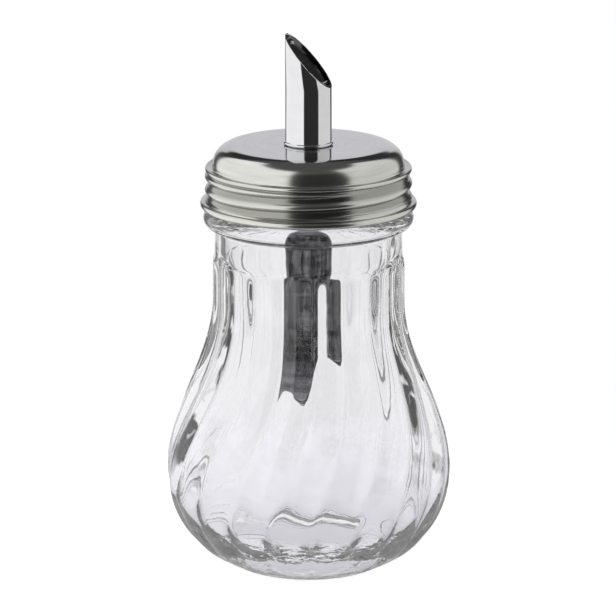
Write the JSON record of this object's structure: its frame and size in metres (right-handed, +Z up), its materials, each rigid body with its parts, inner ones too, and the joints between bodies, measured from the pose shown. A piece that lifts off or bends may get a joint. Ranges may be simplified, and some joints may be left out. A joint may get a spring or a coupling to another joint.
{
  "type": "sugar dispenser",
  "caption": "Ribbed, swirled glass sugar jar with a screw-on steel cap, a slanted pour tube through it and a small hinged flap in the tube's mouth.",
  "frame": {"origin": "centre of the foot, on the surface that the jar stands on", "axes": "+Z up along the axis of the jar and the tube, +X towards the low side of the mouth, to the right in the picture, -Y towards the viewer of the picture"},
  "size_m": [0.0798, 0.0798, 0.1496],
  "materials": {
    "glass": "clear pressed glass, fire-polished",
    "seal": "soft white food-grade plastic",
    "cap_steel": "polished stainless sheet with a faint haze",
    "tube_steel": "mirror-polished stainless tube",
    "inner_steel": "plain drawn stainless",
    "flap_steel": "polished stainless sheet"
  },
  "bodies": {
    "jar": {"glass_jar": "glass"},
    "seal": {"sealing_ring": "seal"},
    "cap": {"screw_cap": "cap_steel", "pour_tube": "tube_steel", "tube_retainer": "inner_steel", "hinge_pin": "inner_steel"},
    "flap": {"flap": "flap_steel"}
  },
  "joints": [
    {"name": "cap_lift", "type": "slide", "parent": "jar", "child": "seal", "axis": [0, 0, 1], "range_m": [0, 0.0058]},
    {"name": "cap_turn", "type": "hinge", "parent": "seal", "child": "cap", "pos_m": [0, 0, 0.1123], "axis": [0, 0, 1], "range_deg": [0, 540]},
    {"name": "flap_swing", "type": "hinge", "parent": "cap", "child": "flap", "pos_m": [0.00415, -0.00111, 0.13589], "axis": [0.2588, 0.9659, 0], "range_deg": [0, 90]}
  ],
  "couplings": [
    {"joint": "cap_lift", "follows": "cap_turn", "m_per_rad": 0.00060479}
  ]
}
